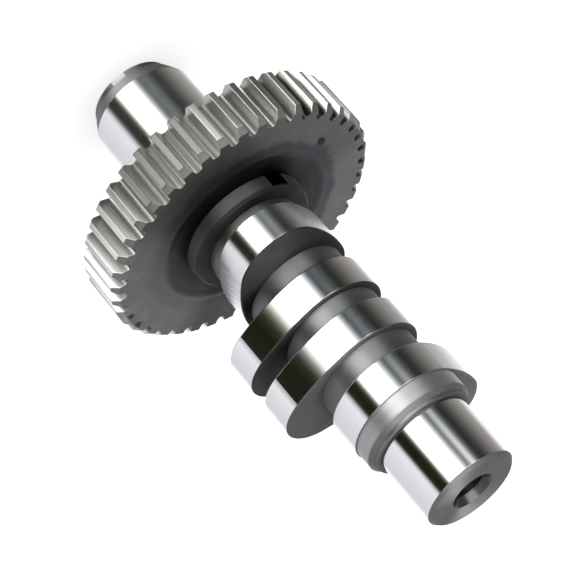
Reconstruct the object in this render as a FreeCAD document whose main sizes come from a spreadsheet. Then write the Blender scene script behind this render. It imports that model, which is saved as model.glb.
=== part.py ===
import FreeCAD, Part
import math
import os

import Sketcher
from FreeCAD import Placement, Rotation, Vector

# Camshaft with four cams and a keyed drive gear.
# Millimetres and degrees. The shaft stands on its slotted end: Z is the axis of the
# shaft, Z = 0 is the slotted end and the inner journal is at the top.

# Driving dimensions

SIZES = [
    # slotted end and outer journal
    ("stub_dia", "20.4"),
    ("stub_len", "2.0"),
    ("slot_width", "3.7"),
    ("journal_nose_taper", "1.5"),
    ("journal_nose_len", "3.1"),
    ("outer_journal_dia", "25.4"),
    ("outer_journal_len", "27.8"),
    ("rear_centre_dia", "4.8"),
    ("rear_centre_depth", "14.0"),
    ("rear_countersink", "1.2"),
    # gear seat and shoulder
    ("seat_dia", "27.0"),
    ("seat_len", "12.7"),
    ("shoulder_dia", "30.8"),
    ("shoulder_len", "3.9"),
    ("shoulder_chamfer", "0.7"),
    ("relief_depth", "0.3"),
    ("relief_len", "1.7"),
    # core, cams and collar
    ("core_depth", "1.55"),
    ("shoulder_gap", "6.05"),
    ("gap_one_two", "5.0"),
    ("gap_two_three", "4.65"),
    ("gap_three_four", "5.6"),
    ("lobe_width", "8.4"),
    ("lobe_chamfer", "0.25"),
    ("base_circle_dia", "27.1"),
    ("nose_radius", "10.7"),
    ("flank_radius", "42.0"),
    ("exhaust_lift", "9.4"),
    ("intake_lift", "8.7"),
    ("lobe_one_angle", "86.6"),
    ("lobe_two_angle", "181.5"),
    ("lobe_three_angle", "181.0"),
    ("lobe_four_angle", "297.0"),
    ("collar_step", "0.3"),
    ("collar_len", "4.9"),
    ("collar_chamfer", "1.0"),
    # inner journal
    ("thrust_ring_dia", "24.2"),
    ("thrust_ring_len", "0.7"),
    ("neck_depth", "0.3"),
    ("neck_len", "0.6"),
    ("inner_journal_dia", "22.22"),
    ("inner_journal_len", "16.3"),
    ("inner_journal_chamfer", "0.8"),
    ("front_bore_dia", "8.2"),
    ("front_bore_depth", "13.0"),
    ("front_countersink", "1.05"),
    # centre drill angles, from the axis
    ("countersink_half_angle", "30.0"),
    ("drill_point_half_angle", "59.0"),
    # key between the shaft and the gear
    ("key_angle", "38.25"),
    ("key_width", "4.76"),
    ("key_height", "4.76"),
    ("keyway_depth", "2.3"),
    ("key_chamfer", "0.3"),
    ("key_top_gap", "0.2"),
    ("key_side_gap", "0.02"),
    ("keyway_rim", "0.8"),
    # gear
    ("tooth_count", "42"),
    ("gear_module", "1.5875"),
    ("pressure_angle", "14.5"),
    ("dedendum", "1.84"),
    ("rim_width", "13.1"),
    ("front_tip_chamfer", "1.45"),
    ("rear_tip_chamfer", "0.8"),
    ("rim_face_width", "9.85"),
    ("recess_slope", "1.65"),
    ("bore_chamfer", "0.5"),
    ("timing_dot_dia", "2.0"),
    ("timing_dot_depth", "0.45"),
    ("timing_dot_inset", "5.4"),
    ("timing_dot_angle", "-22.6"),
]

# The cams from the gear to the inner journal: gap before each one, lift and angle.
LOBES = [
    ("LobeOne", "shoulder_gap", "exhaust_lift", "lobe_one_angle"),
    ("LobeTwo", "gap_one_two", "intake_lift", "lobe_two_angle"),
    ("LobeThree", "gap_two_three", "intake_lift", "lobe_three_angle"),
    ("LobeFour", "gap_three_four", "exhaust_lift", "lobe_four_angle"),
]

doc = FreeCAD.newDocument("camshaft_assembly")
sheet = doc.addObject("Spreadsheet::Sheet", "Sizes")
for row, (alias, amount) in enumerate(SIZES, start=1):
    sheet.set(f"A{row}", alias)
    sheet.set(f"B{row}", amount)
    sheet.setAlias(f"B{row}", alias)
doc.recompute()


# Helpers

def size(alias):
    """Name of a cell as an expression writes it."""
    return f"Sizes.{alias}"


def total(*aliases):
    """Expression for the sum of several cells."""
    return " + ".join(size(alias) for alias in aliases)


def number(expression):
    """Value that an expression has now, for the first guess of a sketch."""
    value = sheet.evalExpression(expression)
    return float(getattr(value, "Value", value))


def new_body(label):
    body = doc.addObject("PartDesign::Body", label + "_body")
    body.Label = label
    return body


def origin_feature(body, role):
    for feature in body.Origin.OriginFeatures:
        if feature.Role == role:
            return feature
    raise ValueError(f"no {role} in {body.Label}")


def new_sketch(body, name, plane, height=None, angle=None):
    """Sketch on an origin plane, lifted along its normal and turned about it."""
    sketch = body.newObject("Sketcher::SketchObject", name)
    sketch.AttachmentSupport = [(origin_feature(body, plane), "")]
    sketch.MapMode = "FlatFace"
    turn = Rotation(Vector(0, 0, 1), number(angle) if angle else 0)
    rise = number(height) if height else 0
    sketch.AttachmentOffset = Placement(Vector(0, 0, rise), turn)
    if height:
        sketch.setExpression("AttachmentOffset.Base.z", height)
    if angle:
        sketch.setExpression("AttachmentOffset.Rotation.Angle", angle)
    return sketch


def bind(sketch, kind, elements, expression):
    """Dimension of a sketch that follows an expression."""
    index = sketch.addConstraint(Sketcher.Constraint(kind, *elements, number(expression)))
    sketch.setExpression(f"Constraints[{index}]", expression)
    return index


TOUCH = 0.001
ORIGIN = (-1, 1)
START = 1
END = 2
CENTRE = 3


def outline(sketch, start, moves):
    """Closed outline of straight lines.

    Each move is (radius, rise) from the corner before. A radius of None keeps the
    line parallel to the axis, a rise of None keeps it square to the axis, and a
    rise that begins with a minus sign goes down.
    """
    corners = [(number(start[0]), number(start[1]))]
    for radius, rise in moves:
        x, y = corners[-1]
        corners.append((number(radius) if radius else x, y + (number(rise) if rise else 0)))
    ends = corners[1:] + corners[:1]
    lines = [
        sketch.addGeometry(Part.LineSegment(Vector(*a, 0), Vector(*b, 0)), False)
        for a, b in zip(corners, ends)
    ]
    for line, following in zip(lines, lines[1:] + lines[:1]):
        sketch.addConstraint(Sketcher.Constraint("Coincident", line, END, following, START))
    place_point(sketch, (lines[0], START), start)
    for line, (radius, rise) in zip(lines, moves):
        if radius is None:
            sketch.addConstraint(Sketcher.Constraint("Vertical", line))
        elif number(radius) == 0:
            sketch.addConstraint(Sketcher.Constraint("PointOnObject", line, END, -2))
        else:
            bind(sketch, "DistanceX", (*ORIGIN, line, END), radius)
        if rise is None:
            sketch.addConstraint(Sketcher.Constraint("Horizontal", line))
        elif rise.startswith("-"):
            bind(sketch, "DistanceY", (line, END, line, START), rise[1:])
        else:
            bind(sketch, "DistanceY", (line, START, line, END), rise)
    return lines


def place_point(sketch, point, position):
    """Tie a point to its two coordinates, either of which may be zero."""
    axes = ((position[0], "DistanceX", -2), (position[1], "DistanceY", -1))
    for expression, kind, axis in axes:
        if number(expression) == 0:
            sketch.addConstraint(Sketcher.Constraint("PointOnObject", *point, axis))
        else:
            bind(sketch, kind, (*ORIGIN, *point), expression)


def check_sketch(sketch):
    if sketch.solve() != 0 or not sketch.FullyConstrained:
        raise ValueError(f"{sketch.Name} isn't fully constrained")


def turn_solid(body, sketch, kind, name):
    """Revolution or Groove of a half section about the axis of the shaft."""
    check_sketch(sketch)
    turned = body.newObject(kind, name)
    turned.Profile = sketch
    turned.ReferenceAxis = (sketch, ["V_Axis"])
    turned.Angle = 360
    doc.recompute()
    return turned


def pad(body, sketch, name, length):
    check_sketch(sketch)
    feature = body.newObject("PartDesign::Pad", name)
    feature.Profile = sketch
    feature.setExpression("Length", length)
    doc.recompute()
    return feature


def pocket(body, sketch, name, length):
    """Cut that rises from the sketch plane."""
    check_sketch(sketch)
    before = body.Shape.Volume
    feature = body.newObject("PartDesign::Pocket", name)
    feature.Profile = sketch
    feature.Reversed = True
    feature.setExpression("Length", length)
    doc.recompute()
    if body.Shape.Volume >= before:
        raise ValueError(f"{name} cuts nothing")
    return feature


def edge_names(shape, wanted):
    return [f"Edge{i}" for i, edge in enumerate(shape.Edges, start=1) if wanted(edge)]


def arc_between(centre, radius, first, last):
    """Counter-clockwise arc from the direction of one point to that of another."""
    a = math.atan2(first[1] - centre[1], first[0] - centre[0])
    b = math.atan2(last[1] - centre[1], last[0] - centre[0])
    if b < a:
        b += 2 * math.pi
    circle = Part.Circle(Vector(*centre, 0), Vector(0, 0, 1), radius)
    return Part.ArcOfCircle(circle, a, b)


def toward(centre, target, distance):
    """Point at a distance from one point in the direction of another."""
    reach = math.dist(centre, target)
    return tuple(c + (t - c) * distance / reach for c, t in zip(centre, target))


def circles_meet(centre_a, radius_a, centre_b, radius_b, side):
    """Crossing of two circles on the left (1) or the right (-1) of the line A to B."""
    gap = math.dist(centre_a, centre_b)
    along = (radius_a ** 2 - radius_b ** 2 + gap ** 2) / (2 * gap)
    across = side * math.sqrt(radius_a ** 2 - along ** 2)
    ux = (centre_b[0] - centre_a[0]) / gap
    uy = (centre_b[1] - centre_a[1]) / gap
    return (centre_a[0] + along * ux - across * uy, centre_a[1] + along * uy + across * ux)


# Radii that follow from the driving dimensions

JOURNAL_RADIUS = f"{size('outer_journal_dia')} / 2"
SEAT_RADIUS = f"{size('seat_dia')} / 2"
SHOULDER_RADIUS = f"{size('shoulder_dia')} / 2"
BASE_CIRCLE = f"{size('base_circle_dia')} / 2"
CORE_RADIUS = f"{BASE_CIRCLE} - {size('core_depth')}"
COLLAR_RADIUS = f"{BASE_CIRCLE} - {size('collar_step')}"
RING_RADIUS = f"{size('thrust_ring_dia')} / 2"
COLLAR_CHAMFER = f"min({size('collar_chamfer')}; 0.9 * ({COLLAR_RADIUS} - {RING_RADIUS}))"
PIN_RADIUS = f"{size('inner_journal_dia')} / 2"
KEY_FLOOR = f"{SEAT_RADIUS} - {size('keyway_depth')}"

# Stations along the shaft, from the slotted end

GEAR_REAR = total("stub_len", "journal_nose_len", "outer_journal_len")
GEAR_FRONT = f"{GEAR_REAR} + {total('seat_len')}"
RELIEF_TOP = f"{GEAR_FRONT} + {total('shoulder_len', 'relief_len')}"
LOBE_GAPS = total(*(gap for _, gap, _, _ in LOBES))
CORE_LENGTH = f"{LOBE_GAPS} + {len(LOBES)} * {size('lobe_width')}"
COLLAR_TOP = f"{RELIEF_TOP} + {CORE_LENGTH} + {size('collar_len')}"
INNER_JOURNAL = total("thrust_ring_len", "neck_len", "inner_journal_len")
SHAFT_TOP = f"{COLLAR_TOP} + {INNER_JOURNAL}"


# Camshaft: one bar, turned, with the cams ground on it

shaft = new_body("camshaft")

section = new_sketch(shaft, "ShaftSection", "XZ_Plane")
outline(section, ("0", "0"), [
    (f"{size('stub_dia')} / 2", None),
    (None, size("stub_len")),
    (f"{JOURNAL_RADIUS} - {size('journal_nose_taper')}", None),
    (JOURNAL_RADIUS, size("journal_nose_len")),
    (None, size("outer_journal_len")),
    (SEAT_RADIUS, None),
    (None, size("seat_len")),
    (SHOULDER_RADIUS, None),
    (None, f"{size('shoulder_len')} - {size('shoulder_chamfer')}"),
    (f"{SHOULDER_RADIUS} - {size('shoulder_chamfer')}", size("shoulder_chamfer")),
    (f"{CORE_RADIUS} - {size('relief_depth')}", None),
    (None, size("relief_len")),
    (CORE_RADIUS, None),
    (None, CORE_LENGTH),
    (COLLAR_RADIUS, None),
    (None, f"{size('collar_len')} - {COLLAR_CHAMFER}"),
    (f"{COLLAR_RADIUS} - {COLLAR_CHAMFER}", COLLAR_CHAMFER),
    (RING_RADIUS, None),
    (None, size("thrust_ring_len")),
    (f"{PIN_RADIUS} - {size('neck_depth')}", None),
    (None, size("neck_len")),
    (PIN_RADIUS, None),
    (None, f"{size('inner_journal_len')} - {size('inner_journal_chamfer')}"),
    (f"{PIN_RADIUS} - {size('inner_journal_chamfer')}", size("inner_journal_chamfer")),
    ("0", None),
])
turn_solid(shaft, section, "PartDesign::Revolution", "TurnedBar")


def cam_outline(sketch, lift):
    """Three-arc cam with its nose on the X axis of the sketch.

    Base circle, two flank arcs and a nose arc, each tangent to the next.
    """
    nose_expression = f"{BASE_CIRCLE} + {size(lift)} - {size('nose_radius')}"
    base = number(BASE_CIRCLE)
    nose = number(size("nose_radius"))
    flank = number(size("flank_radius"))
    nose_centre = (number(nose_expression), 0.0)
    centre = (0.0, 0.0)
    flank_up = circles_meet(centre, flank - base, nose_centre, flank - nose, -1)
    flank_down = circles_meet(centre, flank - base, nose_centre, flank - nose, 1)
    base_up = toward(flank_up, centre, flank)
    base_down = toward(flank_down, centre, flank)
    nose_up = toward(flank_up, nose_centre, flank)
    nose_down = toward(flank_down, nose_centre, flank)

    arcs = [
        arc_between(centre, base, base_up, base_down),
        arc_between(flank_down, flank, base_down, nose_down),
        arc_between(nose_centre, nose, nose_down, nose_up),
        arc_between(flank_up, flank, nose_up, base_up),
    ]
    base_arc, down_arc, nose_arc, up_arc = [sketch.addGeometry(arc, False) for arc in arcs]
    loop = [base_arc, down_arc, nose_arc, up_arc]
    for arc, following in zip(loop, loop[1:] + loop[:1]):
        sketch.addConstraint(Sketcher.Constraint("Tangent", arc, END, following, START))
    sketch.addConstraint(Sketcher.Constraint("Coincident", base_arc, CENTRE, *ORIGIN))
    sketch.addConstraint(Sketcher.Constraint("PointOnObject", nose_arc, CENTRE, -1))
    bind(sketch, "DistanceX", (*ORIGIN, nose_arc, CENTRE), nose_expression)
    bind(sketch, "Radius", (base_arc,), BASE_CIRCLE)
    bind(sketch, "Radius", (nose_arc,), size("nose_radius"))
    bind(sketch, "Radius", (down_arc,), size("flank_radius"))
    bind(sketch, "Radius", (up_arc,), size("flank_radius"))


def chamfer_lobes(faces):
    """Small chamfer round both ends of every cam."""
    base = number(BASE_CIRCLE)

    def rim_edge(edge):
        middle = edge.valueAt((edge.FirstParameter + edge.LastParameter) / 2)
        on_face = any(abs(middle.z - face) < TOUCH for face in faces)
        flat = edge.BoundBox.ZLength < TOUCH
        return on_face and flat and math.hypot(middle.x, middle.y) > base - TOUCH

    cams = shaft.Tip
    chamfer = shaft.newObject("PartDesign::Chamfer", "LobeChamfer")
    chamfer.Base = (cams, edge_names(cams.Shape, rim_edge))
    chamfer.setExpression("Size", f"min({size('lobe_chamfer')}; 0.9 * {size('collar_step')})")
    doc.recompute()


lobe_height = RELIEF_TOP
lobe_faces = []
for lobe_name, lobe_gap, lobe_lift, lobe_angle in LOBES:
    lobe_height = f"{lobe_height} + {size(lobe_gap)}"
    cam = new_sketch(shaft, lobe_name + "Outline", "XY_Plane", lobe_height, size(lobe_angle))
    cam_outline(cam, lobe_lift)
    pad(shaft, cam, lobe_name, size("lobe_width"))
    lobe_faces.append(number(lobe_height))
    lobe_height = f"{lobe_height} + {size('lobe_width')}"
    lobe_faces.append(number(lobe_height))
chamfer_lobes(lobe_faces)


def rectangle(sketch, x_low, x_high, width):
    """Rectangle along the X axis of a sketch, centred across it."""
    half = number(width) / 2
    low, high = number(x_low), number(x_high)
    corners = [(low, -half), (high, -half), (high, half), (low, half)]
    lines = [
        sketch.addGeometry(Part.LineSegment(Vector(*a, 0), Vector(*b, 0)), False)
        for a, b in zip(corners, corners[1:] + corners[:1])
    ]
    for line, following in zip(lines, lines[1:] + lines[:1]):
        sketch.addConstraint(Sketcher.Constraint("Coincident", line, END, following, START))
    bottom, outer, top, inner = lines
    sketch.addConstraint(Sketcher.Constraint("Horizontal", bottom))
    sketch.addConstraint(Sketcher.Constraint("Horizontal", top))
    sketch.addConstraint(Sketcher.Constraint("Vertical", outer))
    sketch.addConstraint(Sketcher.Constraint("Symmetric", inner, START, inner, END, -1))
    bind(sketch, "DistanceY", (inner, END, inner, START), width)
    if low < 0:
        bind(sketch, "DistanceX", (inner, START, *ORIGIN), x_low[1:])
    else:
        bind(sketch, "DistanceX", (*ORIGIN, inner, START), x_low)
    bind(sketch, "DistanceX", (*ORIGIN, outer, START), x_high)


# Keyway: from the rear of the gear seat, through the seat and into the shoulder

keyway = new_sketch(shaft, "KeywaySection", "XY_Plane", GEAR_REAR, size("key_angle"))
rectangle(keyway, KEY_FLOOR, size("shoulder_dia"), size("key_width"))
pocket(shaft, keyway, "Keyway", f"{total('seat_len', 'shoulder_len')} - {size('keyway_rim')}")

# Slot across the end of the stub, along Y

slot = new_sketch(shaft, "EndSlotSection", "XY_Plane", None, "90")
rectangle(slot, f"-{size('stub_dia')}", size("stub_dia"), size("slot_width"))
pocket(shaft, slot, "EndSlot", size("stub_len"))


def centre_hole(name, mouth_height, countersink, bore, depth, sign):
    """Drilled centre with a countersunk mouth; sign is the way in along Z."""
    cone = f"{size(countersink)} / tan({size('countersink_half_angle')} * 1 deg)"
    point = f"{size(bore)} / 2 / tan({size('drill_point_half_angle')} * 1 deg)"
    sketch = new_sketch(shaft, name + "Section", "XZ_Plane")
    outline(sketch, ("0", mouth_height), [
        (f"{size(bore)} / 2 + {size(countersink)}", None),
        (f"{size(bore)} / 2", sign + cone),
        (None, sign + size(depth)),
        ("0", sign + point),
    ])
    before = shaft.Shape.Volume
    turn_solid(shaft, sketch, "PartDesign::Groove", name)
    if shaft.Shape.Volume >= before:
        raise ValueError(f"{name} cuts nothing")


centre_hole("RearCentre", "0", "rear_countersink", "rear_centre_dia",
            "rear_centre_depth", "")
centre_hole("FrontBore", SHAFT_TOP, "front_countersink", "front_bore_dia",
            "front_bore_depth", "-")


# Drive gear: a spur gear pressed on the seat and located by the key

gear = new_body("cam_gear")
PITCH_RADIUS = f"{size('gear_module')} * {size('tooth_count')} / 2"
TIP_RADIUS = f"{PITCH_RADIUS} + {size('gear_module')}"
ROOT_RADIUS = f"{PITCH_RADIUS} - {size('dedendum')}"
BASE_RADIUS = f"{PITCH_RADIUS} * cos({size('pressure_angle')} * 1 deg)"
FLANK_RADIUS = f"{PITCH_RADIUS} * sin({size('pressure_angle')} * 1 deg)"
RECESS_RADIUS = f"{ROOT_RADIUS} - {size('rim_face_width')}"
RECESS_DEPTH = f"({size('rim_width')} - {size('seat_len')})"

blank = new_sketch(gear, "BlankSection", "XZ_Plane")
outline(blank, (f"{SEAT_RADIUS} + {size('bore_chamfer')}", "0"), [
    (f"{TIP_RADIUS} - {size('rear_tip_chamfer')}", None),
    (TIP_RADIUS, size("rear_tip_chamfer")),
    (None, f"{size('rim_width')} - {size('rear_tip_chamfer')} - {size('front_tip_chamfer')}"),
    (f"{TIP_RADIUS} - {size('front_tip_chamfer')}", size("front_tip_chamfer")),
    (RECESS_RADIUS, None),
    (f"{RECESS_RADIUS} - {size('recess_slope')}", f"-{RECESS_DEPTH}"),
    (f"{SEAT_RADIUS} + {size('bore_chamfer')}", None),
    (SEAT_RADIUS, f"-{size('bore_chamfer')}"),
    (None, f"-({size('seat_len')} - 2 * {size('bore_chamfer')})"),
])
turn_solid(gear, blank, "PartDesign::Revolution", "Blank")


def tooth_space(sketch):
    """Space between two teeth, centred on the X axis of the sketch.

    Each flank is the arc that has the involute's curvature at the pitch circle:
    its centre is on the base circle and it passes through the pitch point. One
    full fillet joins the flanks and touches the root circle, and the outline
    closes outside the tips.
    """
    overrun = f"{TIP_RADIUS} + {size('gear_module')} / 2"
    pitch_angle = f"90 deg / {size('tooth_count')}"
    flank = number(FLANK_RADIUS)
    base = number(BASE_RADIUS)
    root = number(ROOT_RADIUS)
    outer = number(overrun)
    origin = (0.0, 0.0)
    pitch_x = f"{PITCH_RADIUS} * cos({pitch_angle})"
    pitch_y = f"{PITCH_RADIUS} * sin({pitch_angle})"
    pitch_up = (number(pitch_x), number(pitch_y))

    flank_up = circles_meet(origin, base, pitch_up, flank, 1)
    inset = root - flank_up[0]
    fillet = (inset ** 2 + flank_up[1] ** 2 - flank ** 2) / (2 * (flank - inset))
    fillet_centre = (root + fillet, 0.0)
    flank_low = toward(flank_up, fillet_centre, flank)
    reach = math.sqrt(flank ** 2 - (outer - flank_up[0]) ** 2)
    flank_top = (outer, flank_up[1] - reach)

    def mirrored(point):
        return (point[0], -point[1])

    flank_arc = sketch.addGeometry(
        arc_between(flank_up, flank, flank_low, flank_top), False)
    mouth = sketch.addGeometry(
        Part.LineSegment(Vector(*flank_top, 0), Vector(*mirrored(flank_top), 0)), False)
    flank_mirror = sketch.addGeometry(
        arc_between(mirrored(flank_up), flank, mirrored(flank_top), mirrored(flank_low)), False)
    fillet_arc = sketch.addGeometry(
        arc_between(fillet_centre, fillet, flank_low, mirrored(flank_low)), False)
    root_circle = sketch.addGeometry(
        Part.Circle(Vector(0, 0, 0), Vector(0, 0, 1), root), True)
    base_circle = sketch.addGeometry(
        Part.Circle(Vector(0, 0, 0), Vector(0, 0, 1), base), True)
    pitch_points = [
        sketch.addGeometry(Part.Point(Vector(*point, 0)), True)
        for point in (pitch_up, mirrored(pitch_up))
    ]

    add = sketch.addConstraint
    for circle, radius in ((root_circle, ROOT_RADIUS), (base_circle, BASE_RADIUS)):
        add(Sketcher.Constraint("Coincident", circle, CENTRE, *ORIGIN))
        bind(sketch, "Radius", (circle,), radius)
    add(Sketcher.Constraint("Coincident", flank_arc, END, mouth, START))
    add(Sketcher.Constraint("Coincident", mouth, END, flank_mirror, START))
    add(Sketcher.Constraint("Tangent", flank_arc, START, fillet_arc, START))
    add(Sketcher.Constraint("Tangent", flank_mirror, END, fillet_arc, END))
    add(Sketcher.Constraint("Tangent", fillet_arc, root_circle))
    add(Sketcher.Constraint("Vertical", mouth))
    bind(sketch, "DistanceX", (*ORIGIN, mouth, START), overrun)
    for arc, point in ((flank_arc, pitch_points[0]), (flank_mirror, pitch_points[1])):
        bind(sketch, "Radius", (arc,), FLANK_RADIUS)
        add(Sketcher.Constraint("PointOnObject", arc, CENTRE, base_circle))
        add(Sketcher.Constraint("PointOnObject", point, START, arc))
        bind(sketch, "DistanceX", (*ORIGIN, point, START), pitch_x)
    bind(sketch, "DistanceY", (*ORIGIN, pitch_points[0], START), pitch_y)
    bind(sketch, "DistanceY", (pitch_points[1], START, *ORIGIN), pitch_y)


space = new_sketch(gear, "ToothSpaceOutline", "XY_Plane")
tooth_space(space)
first_space = pocket(gear, space, "ToothSpace", size("rim_width"))
teeth = gear.newObject("PartDesign::PolarPattern", "Teeth")
teeth.Originals = [first_space]
teeth.Axis = (space, ["N_Axis"])
teeth.Angle = 360
teeth.setExpression("Occurrences", size("tooth_count"))
gear.Tip = teeth
doc.recompute()

# Keyway in the bore of the gear, on the same line as a tooth space

KEY_TOP = f"{KEY_FLOOR} + {size('key_height')}"
bore_slot = new_sketch(gear, "BoreKeywaySection", "XY_Plane")
rectangle(bore_slot, KEY_FLOOR, f"{KEY_TOP} + {size('key_top_gap')}",
          f"{size('key_width')} + 2 * {size('key_side_gap')}")
pocket(gear, bore_slot, "BoreKeyway", total("rim_width", "seat_len"))


def timing_dot():
    """Shallow punched dot on the front face, inside the teeth."""
    ball_radius = (f"({size('timing_dot_dia')} ^ 2 / 4 + {size('timing_dot_depth')} ^ 2) / "
                   f"(2 * {size('timing_dot_depth')})")
    ball = gear.newObject("PartDesign::SubtractiveSphere", "TimingDot")
    ball.setExpression("Radius", ball_radius)
    ball.AttachmentSupport = [(origin_feature(gear, "XY_Plane"), "")]
    ball.MapMode = "FlatFace"
    turn = f"{size('timing_dot_angle')} * 1 deg"
    spot = {
        "x": f"({ROOT_RADIUS} - {size('timing_dot_inset')}) * cos({turn})",
        "y": f"({ROOT_RADIUS} - {size('timing_dot_inset')}) * sin({turn})",
        "z": f"{size('rim_width')} - {size('timing_dot_depth')} + {ball_radius}",
    }
    for axis, expression in spot.items():
        ball.setExpression(f"AttachmentOffset.Base.{axis}", expression)
    doc.recompute()


timing_dot()
gear.Placement = Placement(
    Vector(0, 0, number(GEAR_REAR)), Rotation(Vector(0, 0, 1), number(size("key_angle"))))
gear.setExpression("Placement.Base.z", GEAR_REAR)
gear.setExpression("Placement.Rotation.Angle", size("key_angle"))


# Key: a square bar that fills the seat in the shaft and stands into the gear

key = new_body("gear_key")
key_section = new_sketch(key, "KeySection", "XY_Plane")
rectangle(key_section, KEY_FLOOR, KEY_TOP, size("key_width"))
key_bar = pad(key, key_section, "KeyBar", size("seat_len"))


def chamfer_key():
    """Broken long edges of the key stock."""
    def long_edge(edge):
        return edge.BoundBox.ZLength > number(size("seat_len")) / 2

    chamfer = key.newObject("PartDesign::Chamfer", "KeyChamfer")
    chamfer.Base = (key_bar, edge_names(key_bar.Shape, long_edge))
    chamfer.setExpression("Size", size("key_chamfer"))
    doc.recompute()


chamfer_key()
key.Placement = gear.Placement
key.setExpression("Placement.Base.z", GEAR_REAR)
key.setExpression("Placement.Rotation.Angle", size("key_angle"))

doc.recompute()


# Check the model, then write one file for each piece

for item in doc.Objects:
    if "Invalid" in item.State or "Error" in item.State:
        raise RuntimeError(f"{item.Name} failed: {item.State}")

pieces = [shaft, gear, key]
for piece in pieces:
    shape = piece.Shape
    if shape.isNull() or not shape.isValid() or len(shape.Solids) != 1:
        raise RuntimeError(f"{piece.Label} isn't one valid solid")

os.makedirs("parts", exist_ok=True)
for piece in pieces:
    piece.Shape.exportStep(f"parts/{piece.Label}.step")
    box = piece.Shape.BoundBox
    print(f"{piece.Label}: {piece.Shape.Volume:.1f} mm3, "
          f"X {box.XMin:.2f} {box.XMax:.2f}, Y {box.YMin:.2f} {box.YMax:.2f}, "
          f"Z {box.ZMin:.2f} {box.ZMax:.2f}")
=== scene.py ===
import math
from collections import namedtuple

import bpy
from mathutils import Matrix, Vector

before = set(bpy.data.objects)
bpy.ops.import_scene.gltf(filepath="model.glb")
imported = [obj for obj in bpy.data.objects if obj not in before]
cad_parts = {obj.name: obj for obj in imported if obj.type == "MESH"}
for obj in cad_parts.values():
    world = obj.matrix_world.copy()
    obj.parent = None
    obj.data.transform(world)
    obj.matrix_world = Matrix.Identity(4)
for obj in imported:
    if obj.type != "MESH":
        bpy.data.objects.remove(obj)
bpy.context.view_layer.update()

# Heights along the shaft, from the slotted end up, in millimetres

JOURNAL_FOOT = 5.1
GEAR_REAR = 32.9
GEAR_FRONT = 46.0
SHOULDER_TOP = 49.5
RELIEF_TOP = 51.2
LOBE_FEET = (57.25, 70.65, 83.7, 97.7)
LOBE_WIDTH = 8.4
COLLAR_FOOT = 106.1
RING_FOOT = 111.0
NECK_TOP = 112.3
CHAMFER_FOOT = 127.8

# Radii in millimetres, and angles in degrees

CORE_RADIUS = 12.0
COUNTERSINK_RADIUS = 5.15
GEAR_ROOT = 31.4
GEAR_TIP = 34.925
RECESS_EDGE = 21.65
DOT_RADIUS = 26.1
DOT_ANGLE = 15.65
KEY_ANGLE = 38.25
KEY_HALF_WIDTH = 2.38
KEY_FLOOR = 11.2
KEY_EDGE = 16.0


# Node helpers

class Shader:
    """Short names for the nodes that a material is made of."""

    def __init__(self, name):
        self.material = bpy.data.materials.new(name)
        self.material.use_nodes = True
        self.tree = self.material.node_tree
        self.tree.nodes.clear()

    def node(self, kind, **settings):
        made = self.tree.nodes.new(kind)
        for key, value in settings.items():
            setattr(made, key, value)
        return made

    def put(self, socket, value):
        """Link a node's output to the socket, or set a plain value on it."""
        if isinstance(value, bpy.types.NodeSocket):
            self.tree.links.new(value, socket)
        else:
            socket.default_value = value

    def math(self, operation, a, b=None, c=None, clamp=False):
        made = self.node("ShaderNodeMath", operation=operation, use_clamp=clamp)
        for index, value in enumerate((a, b, c)):
            if value is not None:
                self.put(made.inputs[index], value)
        return made.outputs[0]

    def times(self, a, b):
        return self.math("MULTIPLY", a, b)

    def rest(self, share):
        """What a share leaves of the whole."""
        return self.math("SUBTRACT", 1.0, share)

    def mix(self, factor, a, b):
        """Number between a and b."""
        made = self.node("ShaderNodeMix", data_type="FLOAT")
        self.put(made.inputs[0], factor)
        self.put(made.inputs[2], a)
        self.put(made.inputs[3], b)
        return made.outputs[0]

    def blend(self, factor, a, b, mode="MIX"):
        """Colour between a and b."""
        made = self.node("ShaderNodeMix", data_type="RGBA", blend_type=mode)
        self.put(made.inputs[0], factor)
        self.put(made.inputs[6], a)
        self.put(made.inputs[7], b)
        return made.outputs[2]

    def cover(self, colour, share, strength, coat):
        """Lay a coat over a colour, as strong as given where the share is 1."""
        return self.blend(self.times(share, strength), colour, coat)

    def above(self, value, low, high):
        """0 below low, 1 above high, smooth between."""
        made = self.node("ShaderNodeMapRange", interpolation_type="SMOOTHSTEP")
        self.put(made.inputs[0], value)
        made.inputs[1].default_value = low
        made.inputs[2].default_value = high
        return made.outputs[0]

    def below(self, value, low, high):
        """1 below low, 0 above high, smooth between."""
        return self.rest(self.above(value, low, high))

    def between(self, value, low, high, soft):
        """1 inside a span, 0 outside it."""
        up = self.above(value, low - soft, low + soft)
        down = self.above(value, high - soft, high + soft)
        return self.math("SUBTRACT", up, down, clamp=True)

    def noise(self, vector, scale, detail, rough):
        made = self.node("ShaderNodeTexNoise")
        self.put(made.inputs["Vector"], vector)
        made.inputs["Scale"].default_value = scale
        made.inputs["Detail"].default_value = detail
        made.inputs["Roughness"].default_value = rough
        return made.outputs[0]

    def vector(self, x, y, z):
        made = self.node("ShaderNodeCombineXYZ")
        for socket, value in zip(made.inputs, (x, y, z)):
            self.put(socket, value)
        return made.outputs[0]


def grey(level):
    return (level, level, level, 1.0)


def greys(levels):
    return [grey(level) for level in levels]


# A point of the surface in millimetres, its distance from the axis, and how far it faces up
Place = namedtuple("Place", "point x y z radius facing")
MILLIMETRES = 1000.0


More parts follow.
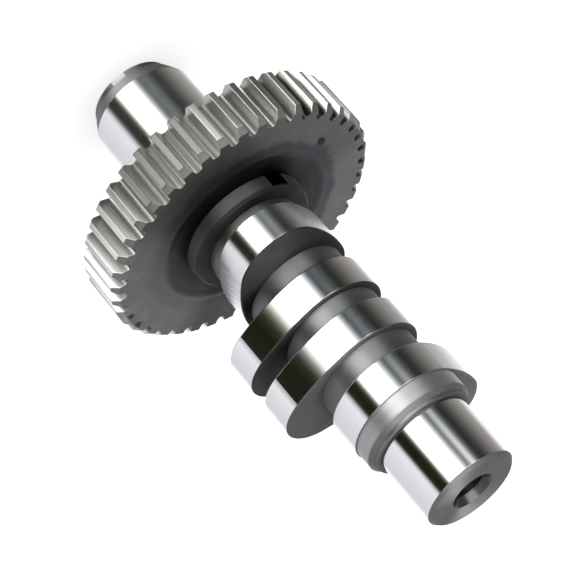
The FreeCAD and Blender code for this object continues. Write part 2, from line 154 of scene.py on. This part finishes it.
def place_on_shaft(s):
    """Where the shaded point is, in the frame that the shaft's axis is Z of."""
    coordinates = s.node("ShaderNodeTexCoord")
    scaled = s.node("ShaderNodeVectorMath", operation="SCALE")
    s.put(scaled.inputs[0], coordinates.outputs["Object"])
    scaled.inputs["Scale"].default_value = MILLIMETRES
    parts = s.node("ShaderNodeSeparateXYZ")
    s.put(parts.inputs[0], scaled.outputs[0])
    x, y, z = parts.outputs
    radius = s.math("SQRT", s.math("ADD", s.times(x, x), s.times(y, y)))
    normal = s.node("ShaderNodeSeparateXYZ")
    s.put(normal.inputs[0], coordinates.outputs["Normal"])
    return Place(scaled.outputs[0], x, y, z, radius, normal.outputs[2])


# How fast the turning marks change along their own line and across it, per millimetre
MARKS_ALONG = 0.035
MARKS_ACROSS = 5.0


def turning_marks(s, place):
    """Fine lines that run round the axis, on walls and on faces."""
    flat = s.above(s.math("ABSOLUTE", place.facing), low=0.6, high=0.8)
    across = s.mix(flat, place.z, place.radius)
    lines = s.vector(s.times(place.x, MARKS_ALONG), s.times(place.y, MARKS_ALONG),
                     s.times(across, MARKS_ACROSS))
    return s.noise(lines, scale=1.0, detail=4.0, rough=0.65)


def grained(s, grain):
    """Noise with more contrast, for the change between two tones of one metal."""
    return s.above(grain, low=0.3, high=0.7)


def near(s, place, spot, inner, outer, stretch=1.0):
    """1 within inner of a spot, 0 beyond outer, longer along Y by the stretch."""
    away = s.node("ShaderNodeVectorMath", operation="SUBTRACT")
    s.put(away.inputs[0], place.point)
    away.inputs[1].default_value = spot
    squeezed = s.node("ShaderNodeVectorMath", operation="MULTIPLY")
    s.put(squeezed.inputs[0], away.outputs[0])
    squeezed.inputs[1].default_value = (1.0, 1.0 / stretch, 1.0)
    length = s.node("ShaderNodeVectorMath", operation="LENGTH")
    s.put(length.inputs[0], squeezed.outputs[0])
    return s.below(length.outputs["Value"], inner, outer)


def shade_in_corners(s, reach, low, high):
    """1 deep in corners and 0 in the open, from ambient occlusion, as a mask for painted shade. The
    reach is in metres.
    """
    made = s.node("ShaderNodeAmbientOcclusion", samples=8)
    made.inputs["Distance"].default_value = reach
    return s.below(made.outputs["AO"], low, high)


def worn_edges(s, radius):
    """Normal that rounds the sharp edges off by a radius in metres."""
    made = s.node("ShaderNodeBevel", samples=6)
    made.inputs["Radius"].default_value = radius
    return made.outputs[0]


# How high grain and turning marks stand, in metres
MARK_HEIGHT = 0.00002


def marked_surface(s, height, strength, normal=None):
    """Normal of a surface with grain or marks on it."""
    made = s.node("ShaderNodeBump")
    made.inputs["Distance"].default_value = MARK_HEIGHT
    s.put(made.inputs["Strength"], strength)
    s.put(made.inputs["Height"], height)
    if normal is not None:
        s.put(made.inputs["Normal"], normal)
    return made.outputs[0]


# In turns: it sets the anisotropic highlights across the turning marks
QUARTER_TURN = 0.25


def finish_metal(s, colour, roughness, normal, anisotropic=0.0):
    """The metal itself; an anisotropic one follows the marks that run round the axis."""
    metal = s.node("ShaderNodeBsdfPrincipled")
    metal.inputs["Metallic"].default_value = 1.0
    s.put(metal.inputs["Base Color"], colour)
    s.put(metal.inputs["Roughness"], roughness)
    s.put(metal.inputs["Normal"], normal)
    if anisotropic:
        metal.inputs["Anisotropic"].default_value = anisotropic
        metal.inputs["Anisotropic Rotation"].default_value = QUARTER_TURN
        tangent = s.node("ShaderNodeTangent", direction_type="RADIAL", axis="Z")
        s.put(metal.inputs["Tangent"], tangent.outputs[0])
    out = s.node("ShaderNodeOutputMaterial")
    s.put(out.inputs[0], metal.outputs[0])
    return s.material


# Shaft: how bright each part is, from its dark grain to its light grain where two are given

GROUND = (0.76, 0.80)
TURNED = (0.36, 0.43)
# Painted shade on the turned walls next to the gear
TURNED_SHADE_BY_GEAR = 0.185
# Painted shade on turned walls seen edge on
TURNED_EDGE_ON_SHADE = 0.04
# Painted shade on the flat faces near the gear
FACES_SHADE_BY_GEAR = (0.08, 0.11)
FACES_BY_COLLAR = (0.36, 0.44)
CLOUDED = 0.27
# Painted shade in the corners
CORNER_SHADE = 0.02
SLOTTED_END = (0.24, 0.38)
# Painted shade in the keyway, near black
KEYWAY_SHADE = 0.008
END_CHAMFER = 0.60
COLLAR = (0.57, 0.67)
DRILLED = (0.15, 0.24)

# Shaft: roughness, in pairs over the grain

TURNED_ROUGH = (0.57, 0.64)
FACES_ROUGH = (0.70, 0.78)
DRILLED_ROUGH = 0.24
HONED_BY_GEAR = (0.17, 0.21)
HONED_BY_COLLAR = (0.10, 0.14)

# Shaft: heights between which the honing, and the painted shade on the flat faces, go over from the
# gear's side to the collar's side

HONED_CHANGE = (66.0, 70.0)
FACES_SHADE_CHANGE = (66.0, 108.0)

# Shaft: half the width of the soft border of a ground part, in millimetres

BORDER = 0.02
LOBE_BORDER = 0.01


def ground_share(s, place, wall):
    """1 on the journals and on the rims of the cams, which are ground, and 0 elsewhere."""
    ground = s.between(place.z, JOURNAL_FOOT, GEAR_REAR, BORDER)
    ground = s.math("ADD", ground, s.between(place.z, NECK_TOP, CHAMFER_FOOT, BORDER))
    proud = s.above(place.radius, CORE_RADIUS + 0.6, CORE_RADIUS + 0.9)
    for foot in LOBE_FEET:
        top = foot + LOBE_WIDTH
        lobe = s.between(place.z, foot - LOBE_BORDER, top + LOBE_BORDER, LOBE_BORDER)
        ground = s.math("ADD", ground, s.times(lobe, proud))
    return s.times(s.math("MINIMUM", ground, 1.0), wall)


def turned_walls(s, place, grain):
    """Walls left as turned, with painted shade next to the gear and where they are seen edge on."""
    turned = s.blend(grained(s, grain), *greys(TURNED))
    clear_of_gear = s.above(place.z, SHOULDER_TOP - 0.2, RELIEF_TOP + 1.5)
    # Painted shade on the walls next to the gear
    turned = s.blend(clear_of_gear, grey(TURNED_SHADE_BY_GEAR), turned)
    # Painted shade where the walls are seen edge on
    view = s.node("ShaderNodeLayerWeight")
    view.inputs["Blend"].default_value = 0.5
    edge_on = s.above(view.outputs["Facing"], low=0.45, high=0.90)
    return s.cover(turned, edge_on, strength=0.60, coat=grey(TURNED_EDGE_ON_SHADE))


def flat_faces(s, place, grain):
    """Flat faces, such as the sides of the cams, with painted shade that fades from the gear to the
    collar.
    """
    contrast = grained(s, grain)
    return s.blend(s.above(place.z, *FACES_SHADE_CHANGE), s.blend(contrast, *greys(FACES_SHADE_BY_GEAR)),
                   s.blend(contrast, *greys(FACES_BY_COLLAR)))


def in_keyway(s, place):
    """1 between the side walls of the keyway, on the key's side of the shaft."""
    turn = math.radians(KEY_ANGLE)
    along = s.math("ADD", s.times(place.x, math.cos(turn)), s.times(place.y, math.sin(turn)))
    across = s.math("SUBTRACT", s.times(place.y, math.cos(turn)), s.times(place.x, math.sin(turn)))
    middle = s.below(s.math("ABSOLUTE", across), KEY_HALF_WIDTH + 0.02, KEY_HALF_WIDTH + 0.06)
    beyond_floor = s.above(along, KEY_FLOOR - 0.4, KEY_FLOOR - 0.2)
    return s.times(s.times(middle, beyond_floor),
                   s.between(place.z, GEAR_REAR, SHOULDER_TOP - 0.5, soft=0.2))


def scale_and_corner_shade(s, dull, place):
    """Clouds of scale on all that isn't ground, and painted shade in the corners."""
    cloud = s.noise(place.point, scale=0.12, detail=2.0, rough=0.5)
    dull = s.cover(dull, s.above(cloud, 0.35, 0.65), strength=0.15, coat=grey(CLOUDED))
    # Painted shade in the corners, from ambient occlusion
    corner = shade_in_corners(s, reach=0.009, low=0.12, high=0.62)
    return s.cover(dull, corner, strength=0.85, coat=grey(CORNER_SHADE))


def shaft_ends(s, dull, place, wall, marks, drilled):
    """The parts with a finish of their own: slotted end, chamfer, collar and bore; and painted shade
    in the keyway.
    """
    slotted = s.below(place.z, JOURNAL_FOOT - 0.15, JOURNAL_FOOT + 0.05)
    dull = s.blend(slotted, dull, s.blend(marks, *greys(SLOTTED_END)))
    # Painted shade in the keyway
    dull = s.blend(in_keyway(s, place), dull, grey(KEYWAY_SHADE))
    chamfer = s.times(s.above(place.z, CHAMFER_FOOT - 0.05, CHAMFER_FOOT + 0.05), wall)
    dull = s.blend(chamfer, dull, grey(END_CHAMFER))
    collar = s.times(wall, s.between(place.z, COLLAR_FOOT, RING_FOOT, BORDER))
    dull = s.blend(collar, dull, s.blend(s.above(marks, 0.35, 0.65), *greys(COLLAR)))
    return s.blend(drilled, dull, s.blend(marks, *greys(DRILLED)))


def shaft_roughness(s, place, wall, ground, drilled, marks, grain):
    """Satin where the shaft is turned, drilled or flat, and honed where it is ground."""
    satin = s.mix(wall, s.mix(grain, *FACES_ROUGH), s.mix(grain, *TURNED_ROUGH))
    satin = s.mix(drilled, satin, DRILLED_ROUGH)
    honed = s.mix(s.above(place.z, *HONED_CHANGE), s.mix(marks, *HONED_BY_GEAR),
                  s.mix(marks, *HONED_BY_COLLAR))
    return s.mix(ground, satin, honed)


def shaft_steel():
    """Hardened bar: ground journals and cam rims, dull grey between them."""
    s = Shader("shaft_steel")
    place = place_on_shaft(s)
    marks = turning_marks(s, place)
    grain = s.noise(place.point, scale=6.0, detail=5.0, rough=0.6)
    wall = s.below(s.math("ABSOLUTE", place.facing), low=0.25, high=0.45)
    ground = ground_share(s, place, wall)
    drilled = s.below(place.radius, COUNTERSINK_RADIUS - 0.08, COUNTERSINK_RADIUS)

    dull = s.blend(wall, flat_faces(s, place, grain), turned_walls(s, place, grain))
    dull = scale_and_corner_shade(s, dull, place)
    dull = shaft_ends(s, dull, place, wall, marks, drilled)
    bright = s.blend(grained(s, marks), *greys(GROUND))
    colour = s.blend(ground, dull, bright)

    rough = shaft_roughness(s, place, wall, ground, drilled, marks, grain)
    normal = marked_surface(s, s.mix(ground, grain, marks), s.mix(ground, 0.25, 0.03),
                            worn_edges(s, radius=0.0002))
    return finish_metal(s, colour, rough, normal, anisotropic=0.9)


# Gear: colours

FACE_TONES = ((0.232, 0.229, 0.226, 1), (0.275, 0.272, 0.268, 1))
# Bluish darker tone round the hub, with a ragged edge
BLUISH_TONE = (0.105, 0.110, 0.128, 1)
PALE_CLOUD = 0.33
# Painted shade on the front face: by angle, round the hub and in its corner
FACE_SHADE = 0.01
# Painted shadow on the face beside the keyway
KEYWAY_SHADOW = 0.004
# The punched timing dot, with painted shade in its hollow
DOT_MARK_AND_SHADE = 0.05
# Painted shade in the recess, and a painted highlight on its rim
RECESS_SHADE = (0.018, 0.021, 0.026, 1)
RECESS_RIM_HIGHLIGHT = (0.26, 0.255, 0.235, 1)
TOOTH_TONES = ((0.72, 0.715, 0.690, 1), (0.82, 0.815, 0.790, 1))
# Painted shade towards the rear of the teeth
TOOTH_REAR_SHADE = (0.46, 0.455, 0.425, 1)
# Painted shade on the tooth roots
ROOT_SHADE = (0.125, 0.122, 0.110, 1)
# Painted shade on the matt tips in one span of angles
MATT_TIP_SHADE = (0.16, 0.157, 0.148, 1)
# Painted shade on the flanks outside the lit span
FLANK_SHADE = (0.050, 0.050, 0.040, 1)
# Painted shade in the gaps between teeth, deeper outside the lit span
DEEP_GAP_SHADE = (0.030, 0.031, 0.024, 1)
LIT_GAP_SHADE = (0.22, 0.215, 0.190, 1)

# Gear: where the painted shade and the matt tips are, from and to in degrees round the axis

# Span of teeth left lit; outside it the flanks and gaps get deeper painted shade
LIT_TEETH = (44.0, 167.0)
MATT_SHADED_TIPS = (79.0, 113.0)
# Painted shade on the front face, where it mirrors the shaft and the cams, with how dark it is
FACE_SHADE_SPANS = ((-8.0, 60.0, 0.25), (60.0, 126.0, 0.40), (-145.0, -95.0, 0.55))

# The bluish darker tone on the front face: its radius and how ragged its edge is, in millimetres
BLUISH_RADIUS = 25.5
BLUISH_RAGGED = 7.0

# Gear: roughness, in pairs over the grain

TEETH_ROUGH = (0.29, 0.36)
MATT_ROUGH = 0.58
FACE_ROUGH = (0.46, 0.54)


def on_gear_face(radius, angle):
    turn = math.radians(angle)
    return (radius * math.cos(turn), radius * math.sin(turn), GEAR_FRONT)


def bluish_face(s, place, grain, side):
    """Turned face, bluish and darker round the hub with a ragged edge, and pale clouds near the
    teeth.
    """
    cloud = s.noise(place.point, scale=0.16, detail=3.0, rough=0.55)
    face = s.blend(grained(s, grain), *FACE_TONES)
    ragged = s.math("MULTIPLY_ADD", s.math("SUBTRACT", cloud, 0.5), BLUISH_RAGGED, place.radius)
    bluish_zone = s.below(ragged, BLUISH_RADIUS - 1.2, BLUISH_RADIUS + 0.8)
    face = s.cover(face, bluish_zone, strength=s.mix(side, 0.25, 0.85), coat=BLUISH_TONE)
    pale = s.times(s.above(cloud, 0.50, 0.72), s.above(place.radius, 24.0, 29.0))
    return s.cover(face, pale, strength=0.6, coat=grey(PALE_CLOUD))


def shade_by_angle(s, angle):
    """How dark the painted shade on the face is at an angle."""
    film = 0.0
    for first, last, strength in FACE_SHADE_SPANS:
        film = s.math("MULTIPLY_ADD", s.between(angle, first, last, soft=10.0), strength, film)
    return film


def recessed_face(s, face, place, side):
    """Painted shade in the recess and a painted highlight on its rim, both clearer on the side away
    from the timing dot.
    """
    strength = s.mix(side, 0.40, 0.10)
    recess = s.below(place.radius, RECESS_EDGE - 1.0, RECESS_EDGE)
    # Painted shade in the recess
    face = s.cover(face, recess, strength, RECESS_SHADE)
    rim = s.between(place.radius, RECESS_EDGE + 0.1, RECESS_EDGE + 1.2, soft=0.2)
    return s.cover(face, rim, strength, RECESS_RIM_HIGHLIGHT)


def shaded_hub(s, face, place):
    """Painted shade round the hub, deeper in its corner, and a painted shadow at the keyway."""
    # Painted shade round the hub, and deeper in its corner from ambient occlusion
    hub = s.below(place.radius, 15.0, 24.0)
    face = s.cover(face, hub, strength=0.60, coat=grey(FACE_SHADE))
    corner = shade_in_corners(s, reach=0.016, low=0.35, high=0.98)
    face = s.cover(face, corner, strength=0.90, coat=grey(FACE_SHADE))
    # Painted shadow beside the keyway
    keyway_shadow = near(s, place, on_gear_face(KEY_EDGE, KEY_ANGLE), inner=2.5, outer=7.0)
    return s.cover(face, keyway_shadow, strength=0.92, coat=grey(KEYWAY_SHADOW))


def gear_face(s, place, angle, grain):
    """Turned face with its bluish tone, pale clouds and painted shade; side goes from 0 to 1 towards
    the timing dot.
    """
    side = s.above(place.x, low=-26.0, high=22.0)
    face = bluish_face(s, place, grain, side)
    # Painted shade by angle, where the face mirrors the shaft
    face = s.blend(shade_by_angle(s, angle), face, grey(FACE_SHADE))
    face = recessed_face(s, face, place, side)
    return shaded_hub(s, face, place)


def gear_teeth(s, place, angle, grain, root, matt_shaded):
    """Bright teeth, with painted shade towards the rear, on the roots, on the matt tips, on the
    flanks outside the lit span and in the gaps.
    """
    teeth = s.blend(grained(s, grain), *TOOTH_TONES)
    front = s.above(place.z, GEAR_REAR - 3.0, GEAR_FRONT - 1.0)
    # Painted shade towards the rear
    teeth = s.blend(front, TOOTH_REAR_SHADE, teeth)
    # Painted shade on the roots
    teeth = s.cover(teeth, root, strength=0.95, coat=ROOT_SHADE)
    # Painted shade on the matt tips
    teeth = s.cover(teeth, matt_shaded, strength=s.mix(grain, 0.60, 0.98), coat=MATT_TIP_SHADE)
    # Painted shade on the flanks outside the lit span
    lit = s.between(angle, *LIT_TEETH, soft=7.0)
    flank = s.below(place.radius, GEAR_TIP - 1.9, GEAR_TIP - 0.9)
    shaded_flank = s.times(flank, s.rest(lit))
    teeth = s.cover(teeth, shaded_flank, strength=0.80, coat=FLANK_SHADE)
    # Painted shade in the gaps between teeth
    gap = shade_in_corners(s, reach=0.0040, low=0.20, high=0.75)
    return s.cover(teeth, gap, strength=s.mix(lit, 0.96, 0.50),
                   coat=s.blend(lit, DEEP_GAP_SHADE, LIT_GAP_SHADE))


def gear_steel():
    """Hobbed gear: bright teeth and chamfers, dark turned faces, bluish and with painted shade near
    the hub.
    """
    s = Shader("gear_steel")
    place = place_on_shaft(s)
    marks = turning_marks(s, place)
    grain = s.noise(place.point, scale=7.0, detail=5.0, rough=0.6)
    angle = s.math("DEGREES", s.math("ARCTAN2", place.y, place.x))
    flat = s.above(s.math("ABSOLUTE", place.facing), low=0.40, high=0.80)
    root = s.below(place.radius, GEAR_ROOT + 0.10, GEAR_ROOT + 0.40)
    matt_shaded = s.times(s.above(place.radius, GEAR_TIP - 0.5, GEAR_TIP - 0.1),
                   s.between(angle, *MATT_SHADED_TIPS, soft=3.0))

    colour = s.blend(flat, gear_teeth(s, place, angle, grain, root, matt_shaded),
                     gear_face(s, place, angle, grain))
    # The punched timing dot, dark partly as a mark and partly as painted shade in its hollow
    dot = near(s, place, on_gear_face(DOT_RADIUS, DOT_ANGLE), inner=0.5, outer=1.35, stretch=1.8)
    colour = s.blend(dot, colour, grey(DOT_MARK_AND_SHADE))

    teeth_rough = s.mix(s.math("MAXIMUM", root, matt_shaded), s.mix(grain, *TEETH_ROUGH), MATT_ROUGH)
    rough = s.mix(flat, teeth_rough, s.mix(grain, *FACE_ROUGH))
    normal = marked_surface(s, s.mix(flat, grain, marks), s.mix(flat, 0.05, 0.12),
                            worn_edges(s, radius=0.0003))
    return finish_metal(s, colour, rough, normal)


# Key: how bright and how rough it is, from its dark grain to its light grain

DRAWN_KEY = (0.45, 0.60)
DRAWN_ROUGH = (0.30, 0.42)
# Painted shade on the key's end in the shoulder's notch
KEY_END_SHADE = 0.008
DRAWN_GRAIN = 6.0


def key_steel():
    """Drawn bar with its grain along it, and painted shade on its end in the shoulder's notch."""
    s = Shader("key_steel")
    place = place_on_shaft(s)
    drawn = s.vector(s.times(place.x, DRAWN_GRAIN), s.times(place.y, DRAWN_GRAIN), place.z)
    grain = s.noise(drawn, scale=1.0, detail=4.0, rough=0.6)
    colour = s.blend(grain, *greys(DRAWN_KEY))
    in_notch = s.above(place.z, GEAR_FRONT - 1.2, GEAR_FRONT - 0.8)
    # Painted shade on the end in the notch
    colour = s.blend(in_notch, colour, grey(KEY_END_SHADE))
    normal = marked_surface(s, grain, strength=0.2)
    return finish_metal(s, colour, s.mix(grain, *DRAWN_ROUGH), normal)


# Camera, in metres and degrees: it looks down on the shaft and is rolled, as in the photograph

CAMERA_SPOT = (-0.001703, 0.436463, 0.284277)
CAMERA_HEADING = 180.0
CAMERA_TILT = -26.565
CAMERA_ROLL = 139.368
CAMERA_LENS = 136.9
CAMERA_SHIFT = (-0.0006, 0.0019)
CAMERA_RANGE = (0.01, 20.0)
SENSOR = 36.0


def place_camera():
    heading, tilt, roll = (math.radians(a) for a in (CAMERA_HEADING, CAMERA_TILT, CAMERA_ROLL))
    forward = Vector((math.sin(heading) * math.cos(tilt), math.cos(heading) * math.cos(tilt),
                      math.sin(tilt)))
    level = forward.cross(Vector((0, 0, 1))).normalized()
    upright = level.cross(forward)
    right = math.cos(roll) * level + math.sin(roll) * upright
    up = -math.sin(roll) * level + math.cos(roll) * upright
    turn = Matrix((right, up, -forward)).transposed().to_4x4()
    data = bpy.data.cameras.new("camera")
    data.sensor_width = SENSOR
    data.lens = CAMERA_LENS
    data.shift_x, data.shift_y = CAMERA_SHIFT
    data.clip_start, data.clip_end = CAMERA_RANGE
    camera = bpy.data.objects.new("camera", data)
    camera.matrix_world = Matrix.Translation(CAMERA_SPOT) @ turn
    bpy.context.scene.collection.objects.link(camera)
    bpy.context.scene.camera = camera


def mesh_object(name, vertices, faces):
    mesh = bpy.data.meshes.new(name)
    mesh.from_pydata(vertices, [], faces)
    made = bpy.data.objects.new(name, mesh)
    bpy.context.scene.collection.objects.link(made)
    return made


# Floor: its half side in metres, its two tones, and how much white it gives off to the camera

FLOOR_REACH = 4.0
FLOOR_TONES = (0.86, 0.88)
FLOOR_LIFT = 0.50


def floor_paint():
    """Pale floor that stays white to the camera and keeps the shadow."""
    s = Shader("floor_paint")
    grain = s.noise(s.node("ShaderNodeTexCoord").outputs["Object"], scale=8.0, detail=3.0, rough=0.5)
    pale = s.node("ShaderNodeBsdfDiffuse")
    s.put(pale.inputs["Color"], s.blend(grain, *greys(FLOOR_TONES)))
    glow = s.node("ShaderNodeEmission")
    glow.inputs["Color"].default_value = grey(1.0)
    rays = s.node("ShaderNodeLightPath")
    seen = s.math("MAXIMUM", rays.outputs["Is Camera Ray"],
                  s.math("MAXIMUM", rays.outputs["Is Glossy Ray"],
                         rays.outputs["Is Transmission Ray"]))
    s.put(glow.inputs["Strength"], s.times(seen, FLOOR_LIFT))
    both = s.node("ShaderNodeAddShader")
    s.put(both.inputs[0], pale.outputs[0])
    s.put(both.inputs[1], glow.outputs[0])
    out = s.node("ShaderNodeOutputMaterial")
    s.put(out.inputs[0], both.outputs[0])
    return s.material


def make_floor():
    reach = FLOOR_REACH
    corners = [(-reach, -reach, 0), (reach, -reach, 0), (reach, reach, 0), (-reach, reach, 0)]
    floor = mesh_object("floor", corners, [(0, 1, 2, 3)])
    floor.data.materials.append(floor_paint())
    floor.visible_glossy = False


# What stands round the object, seen only in reflections: azimuth in degrees, and the red,
# green and blue brightness there
BANDS = (
    (-180, (0.92, 0.91, 0.97)), (-150, (0.84, 0.83, 0.90)), (-133, (0.80, 0.80, 0.86)),
    (-120, (1.05, 1.05, 1.10)), (-105, (1.25, 1.25, 1.28)), (-80, (1.20, 1.20, 1.22)),
    (-66, (0.85, 0.85, 0.88)), (-54, (0.56, 0.56, 0.58)), (-40, (0.42, 0.40, 0.41)),
    (-24, (0.33, 0.31, 0.30)), (-12, (0.24, 0.23, 0.21)), (0, (0.150, 0.145, 0.135)),
    (10, (0.080, 0.080, 0.075)), (20, (0.040, 0.042, 0.036)), (27, (0.030, 0.032, 0.028)),
    (34, (0.065, 0.070, 0.070)), (50, (0.050, 0.060, 0.065)), (60, (0.07, 0.09, 0.10)),
    (66, (0.42, 0.46, 0.48)), (73, (1.30, 1.30, 1.30)), (78, (3.50, 3.50, 3.50)),
    (110, (3.50, 3.50, 3.45)), (115, (1.20, 1.20, 1.12)), (119, (0.25, 0.25, 0.20)),
    (123, (0.035, 0.038, 0.025)), (130, (0.012, 0.015, 0.005)), (144, (0.014, 0.017, 0.009)),
    (147, (0.10, 0.10, 0.105)), (151, (0.62, 0.62, 0.65)), (157, (1.02, 1.02, 1.06)),
    (172, (0.98, 0.97, 1.01)), (180, (0.92, 0.91, 0.97)),
)
BRIGHTEST = 3.5
# Soft lamps added to the bands: azimuth and width in degrees, brightness, and the heights
# between which each one comes in, in metres
LAMPS = (
    (49.3, 8.0, 1.30, -0.50, -0.42),
    (56.0, 15.0, 2.4, -0.20, 0.15),
    (-56.0, 13.0, 0.50, -0.54, -0.42),
)
# Roof over the bands: a dim one with a soft box in it, from and to in degrees, and the
# heights between which it takes over, in metres
ROOF_LEVEL = 0.20
SOFT_BOX_LEVEL = 1.6
SOFT_BOX_SPAN = (40.0, 100.0)
ROOF_LOW, ROOF_HIGH = 0.30, 0.70


def band_colours(s, azimuth):
    """The bands round the object, as shares of the brightest."""
    ramp = s.node("ShaderNodeValToRGB")
    s.put(ramp.inputs[0], s.math("MULTIPLY_ADD", azimuth, 1 / 360, 0.5))
    stops = ramp.color_ramp.elements
    while len(stops) < len(BANDS):
        stops.new(0.5)
    for stop, (angle, level) in zip(stops, BANDS):
        stop.position = (angle + 180) / 360
    for stop, (angle, level) in zip(stops, BANDS):
        stop.color = (*(part / BRIGHTEST for part in level), 1.0)
    return ramp.outputs[0]


def lamp_light(s, azimuth, height):
    """The lamps together, as a share of the brightest, each one a soft hump."""
    light = 0.0
    for heading, width, level, low, high in LAMPS:
        away = s.math("DIVIDE", s.math("SUBTRACT", azimuth, heading), width)
        lamp = s.math("EXPONENT", s.times(s.times(away, away), -1.0))
        lamp = s.times(lamp, s.above(height, low, high))
        light = s.math("MULTIPLY_ADD", lamp, level / BRIGHTEST, light)
    return light


def card_paint():
    s = Shader("card_paint")
    parts = s.node("ShaderNodeSeparateXYZ")
    s.put(parts.inputs[0], s.node("ShaderNodeTexCoord").outputs["Object"])
    x, y, height = parts.outputs
    azimuth = s.math("DEGREES", s.math("ARCTAN2", y, x))
    light = lamp_light(s, azimuth, height)
    walls = s.blend(1.0, band_colours(s, azimuth), s.vector(light, light, light), mode="ADD")
    roof = s.blend(s.between(azimuth, *SOFT_BOX_SPAN, soft=6.0), grey(ROOF_LEVEL / BRIGHTEST),
                   grey(SOFT_BOX_LEVEL / BRIGHTEST))
    glow = s.node("ShaderNodeEmission")
    s.put(glow.inputs["Color"], s.blend(s.above(height, ROOF_LOW, ROOF_HIGH), walls, roof))
    glow.inputs["Strength"].default_value = BRIGHTEST
    out = s.node("ShaderNodeOutputMaterial")
    s.put(out.inputs[0], glow.outputs[0])
    s.material.cycles.emission_sampling = "NONE"
    return s.material


# The ring of cards, in metres

CARDS_RADIUS = 1.5
CARDS_HEIGHTS = (-2.0, 1.6)
CARDS_COUNT = 96


def make_cards():
    """Ring of bright and dark cards round the object."""
    vertices, faces = [], []
    for i in range(CARDS_COUNT):
        angle = 2 * math.pi * i / CARDS_COUNT
        for height in CARDS_HEIGHTS:
            vertices.append((CARDS_RADIUS * math.cos(angle),
                             CARDS_RADIUS * math.sin(angle), height))
        j = (i + 1) % CARDS_COUNT
        faces.append((2 * i, 2 * j, 2 * j + 1, 2 * i + 1))
    cards = mesh_object("studio_cards", vertices, faces)
    cards.data.materials.append(card_paint())
    cards.visible_camera = False
    cards.visible_diffuse = False
    cards.visible_shadow = False
    cards.visible_transmission = False


def light_studio():
    """Plain white light from all round."""
    world = bpy.data.worlds.new("studio")
    world.use_nodes = True
    backdrop = world.node_tree.nodes["Background"]
    backdrop.inputs["Color"].default_value = grey(1.0)
    backdrop.inputs["Strength"].default_value = 1.0
    bpy.context.scene.world = world
    bpy.context.scene.view_settings.view_transform = "Standard"


for name, material in (("camshaft", shaft_steel()), ("cam_gear", gear_steel()),
                       ("gear_key", key_steel())):
    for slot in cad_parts[name].material_slots:
        slot.material = material

place_camera()
make_floor()
make_cards()
light_studio()
